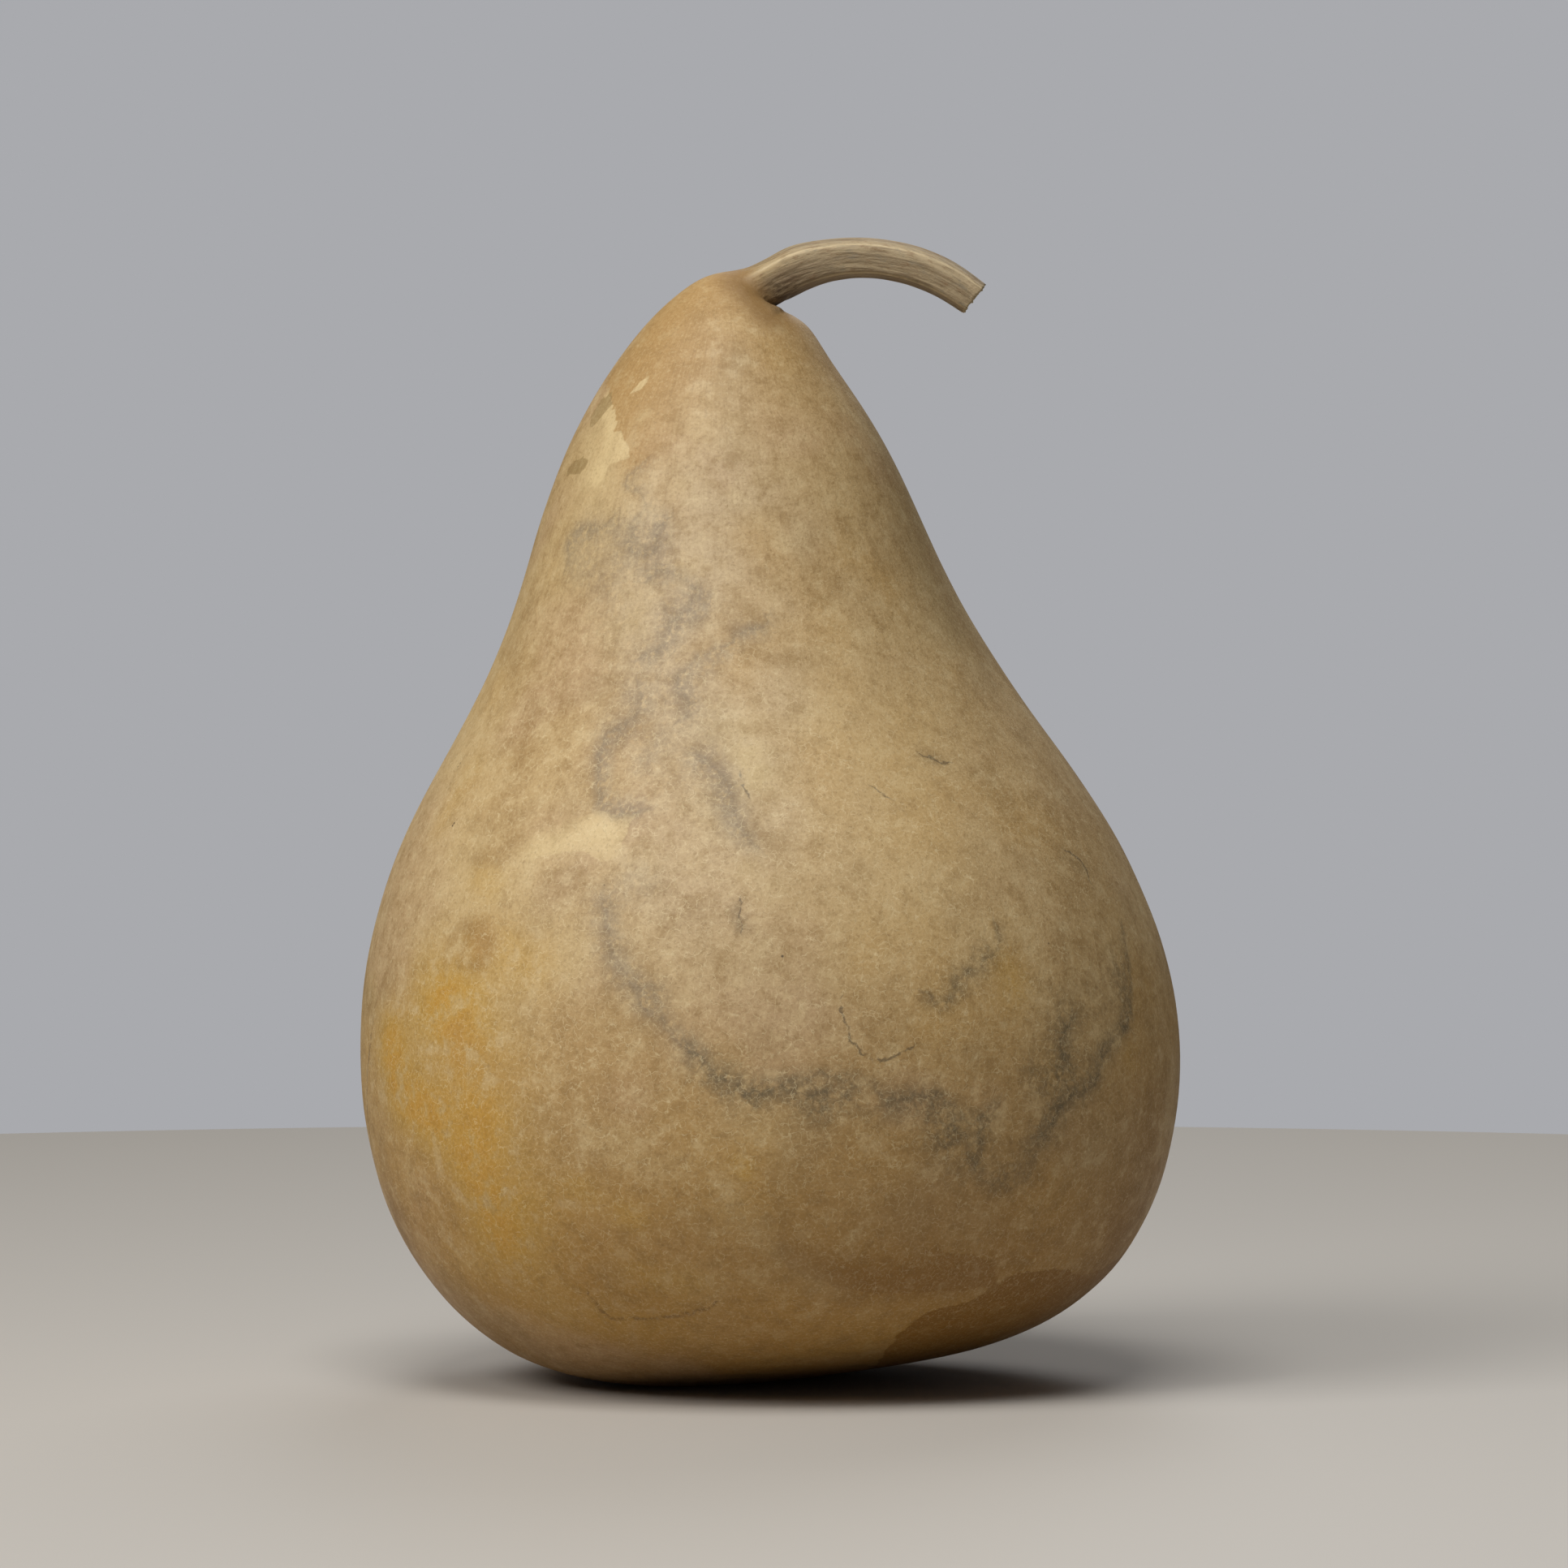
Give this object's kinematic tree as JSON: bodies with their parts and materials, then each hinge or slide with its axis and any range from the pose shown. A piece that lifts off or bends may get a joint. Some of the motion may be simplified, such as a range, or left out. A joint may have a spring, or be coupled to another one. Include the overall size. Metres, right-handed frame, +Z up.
{
  "type": "dried bottle gourd",
  "caption": "Pear-shaped dried gourd with a hard ochre rind, standing on a small flat spot, its ribbed stem arched over to one side.",
  "frame": {"origin": "on the surface the gourd stands on, in the middle of its bounding box; the flat resting spot is round it, mostly to its left", "axes": "+Z up along the gourd's height, +X to the right of the front view, which is the way the stem arches, +Y away from the viewer"},
  "size_m": [0.2, 0.1948, 0.2767],
  "materials": {
    "dried_rind": "dull satin dried rind, ochre with grey, brown and yellow stains; the stem is paler, ribbed and corky"
  },
  "bodies": {
    "root": {"dried_gourd": "dried_rind"}
  },
  "joints": []
}
